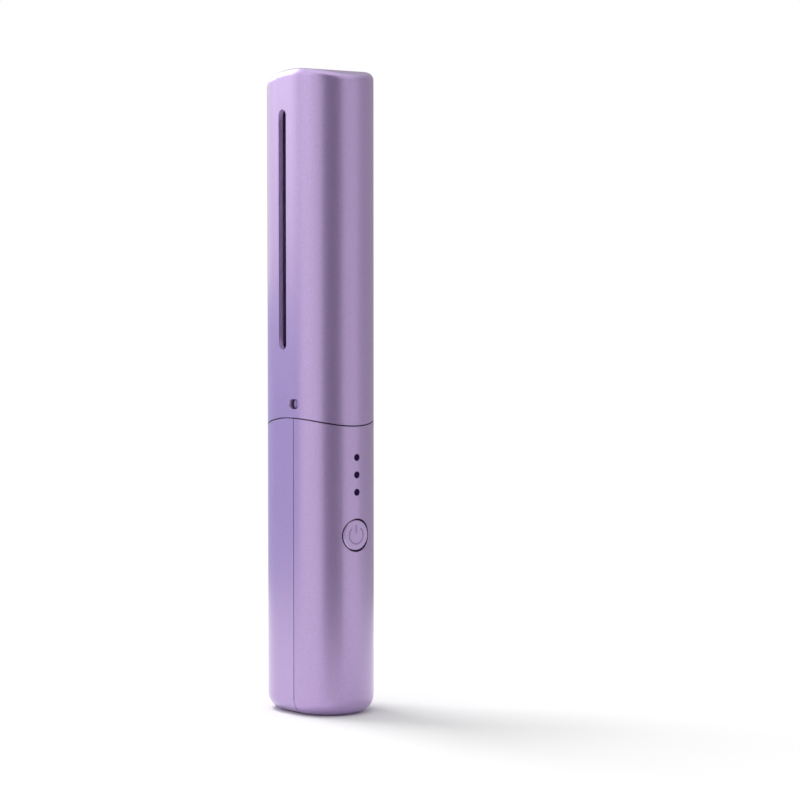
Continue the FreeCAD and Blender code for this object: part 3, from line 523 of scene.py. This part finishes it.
def makeLamp(name, lamp):
    turn, rise = math.radians(lamp["azimuth"]), math.radians(lamp["elevation"])
    aim = Vector(studio["aim"])
    back = Vector((math.sin(turn) * math.cos(rise), -math.cos(turn) * math.cos(rise), math.sin(rise)))
    data = bpy.data.lights.new(name + "Box", "AREA")
    data.shape = "RECTANGLE"
    data.size, data.size_y = lamp["size"]
    data.energy = lamp["watts"]
    made = bpy.data.objects.new(name + "Box", data)
    bpy.context.scene.collection.objects.link(made)
    made.visible_glossy, made.visible_diffuse = lamp["glossy"], lamp["diffuse"]
    made.location = aim + back * lamp["distance"]
    made.rotation_euler = (-back).to_track_quat("-Z", "Y").to_euler()


# an upright card that faces the object and that only gloss sees: each gives the paint a band
# of its own grey, and the side one a bluish tint on the flat
def makeFlag(name, flag):
    material, tree, surface = bareMaterial(name + "Felt")
    felt = addNode(tree, "ShaderNodeEmission", Color=flag["colour"] + opaque, Strength=1.0)
    tree.links.new(felt.outputs[0], surface)
    turn = math.radians(flag["azimuth"])
    away = np.array([math.sin(turn), -math.cos(turn)])
    along = np.array([math.cos(turn), math.sin(turn)])
    left, right = away * flag["distance"] + along * np.array([[-0.5], [0.5]]) * flag["wide"]
    low, high = flag["heights"]
    corners = [(*left, low), (*right, low), (*right, high), (*left, high)]
    card = quadObject(name, corners, material)
    card.visible_camera = card.visible_diffuse = card.visible_shadow = False
    card.visible_transmission = False


view = {
    "azimuth": -40.2,
    "distance": 0.800,
    "height": 0.1369,
    "aside": 0.0249,      # the object stands this far left of the lens axis
    "pitch": -2.83,
    "focalPixels": 2555.0,
    "framePixels": 800.0,
    "sensorWidth": 36.0,
    "clip": (0.01, 50.0),
}


def makeCamera():
    turn = math.radians(view["azimuth"])
    ahead = Vector((-math.sin(turn), math.cos(turn), 0))
    right = Vector((math.cos(turn), math.sin(turn), 0))
    data = bpy.data.cameras.new("studioCamera")
    data.sensor_width = view["sensorWidth"]
    data.lens = view["sensorWidth"] * view["focalPixels"] / view["framePixels"]
    data.clip_start, data.clip_end = view["clip"]
    camera = bpy.data.objects.new("studioCamera", data)
    bpy.context.scene.collection.objects.link(camera)
    camera.location = right * view["aside"] - ahead * view["distance"] + Vector((0, 0, view["height"]))
    dip = math.radians(view["pitch"])
    look = ahead * math.cos(dip) + Vector((0, 0, math.sin(dip)))
    camera.rotation_euler = look.to_track_quat("-Z", "Y").to_euler()
    bpy.context.scene.camera = camera


makeFloor()
makeWorld()
for name, lamp in studio["lamps"].items():
    makeLamp(name, lamp)
for name, flag in studio["cards"].items():
    makeFlag(name, flag)
makeCamera()
bpy.context.scene.view_settings.view_transform = "Standard"
print("studio ready")
